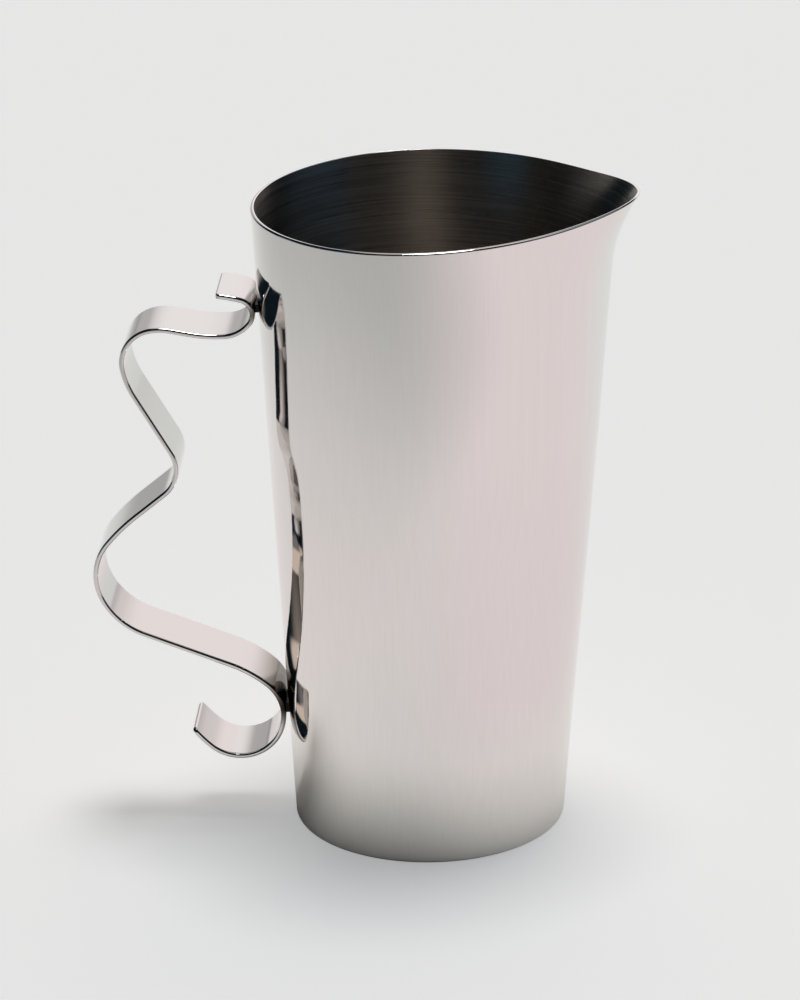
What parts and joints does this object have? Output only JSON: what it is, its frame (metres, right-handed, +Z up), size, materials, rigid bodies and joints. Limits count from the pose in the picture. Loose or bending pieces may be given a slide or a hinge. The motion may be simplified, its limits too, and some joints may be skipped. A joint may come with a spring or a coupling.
{
  "type": "cocktail pitcher",
  "caption": "Tapered polished steel pitcher with a pulled pouring lip and a wavy flat-strap handle that curls at both ends and is welded to the wall.",
  "frame": {"origin": "centre of the underside of the base, on the surface that the pitcher stands on", "axes": "+Z up, +X from the handle to the pouring lip, +Y completes a right-handed frame"},
  "size_m": [0.1522, 0.097, 0.1831],
  "materials": {
    "wall_steel": "stainless sheet, polished outside with faint upright polishing lines, brushed round the inside",
    "base_steel": "stainless sheet, brushed",
    "strap_steel": "stainless strip, mirror polished, edges rounded",
    "weld_steel": "stainless weld metal, dressed and darkened by heat"
  },
  "bodies": {
    "root": {"body_wall": "wall_steel", "base_plate": "base_steel", "base_weld": "weld_steel", "handle_strap": "strap_steel", "upper_weld": "weld_steel", "lower_weld": "weld_steel"}
  },
  "joints": []
}
